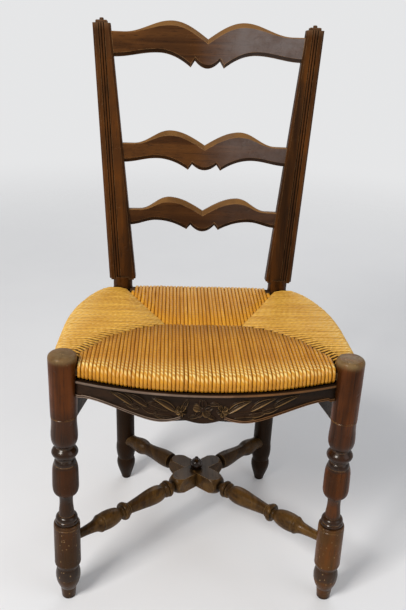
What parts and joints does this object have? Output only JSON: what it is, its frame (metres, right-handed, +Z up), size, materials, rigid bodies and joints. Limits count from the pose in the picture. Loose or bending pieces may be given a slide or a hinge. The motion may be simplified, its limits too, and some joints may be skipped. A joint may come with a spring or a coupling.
{
  "type": "ladderback side chair",
  "caption": "Ladderback side chair with turned legs, scrolled slats, a rush seat, a carved front apron and crossed turned stretchers.",
  "frame": {"origin": "middle of the footprint on the floor, under the middle of the seat's length", "axes": "+X to the right as seen from in front, +Y from the front edge to the back, +Z up"},
  "size_m": [0.4988, 0.485, 0.9394],
  "materials": {
    "dark_wood": "waxed, worn semi-gloss",
    "slat_wood": "waxed, with worn light arrises",
    "carved_wood": "dark wax, burnished",
    "worn_wood": "worn, semi-gloss",
    "rail_wood": "bare",
    "rush": "dry woven rush with a slight sheen"
  },
  "bodies": {
    "root": {"front_leg_left": "dark_wood", "front_leg_right": "dark_wood", "rear_post_left": "dark_wood", "rear_post_right": "dark_wood", "top_slat": "slat_wood", "middle_slat": "slat_wood", "lower_slat": "slat_wood", "front_apron": "carved_wood", "left_side_apron": "dark_wood", "right_side_apron": "dark_wood", "stretcher_front_left_to_rear_right": "worn_wood", "stretcher_front_right_to_rear_left": "worn_wood", "stretcher_finial": "carved_wood", "front_seat_rail": "rail_wood", "rear_seat_rail": "rail_wood", "left_seat_rail": "rail_wood", "right_seat_rail": "rail_wood", "rush_front": "rush", "rush_rear": "rush", "rush_left": "rush", "rush_right": "rush", "seat_stuffing": "rush"}
  },
  "joints": []
}
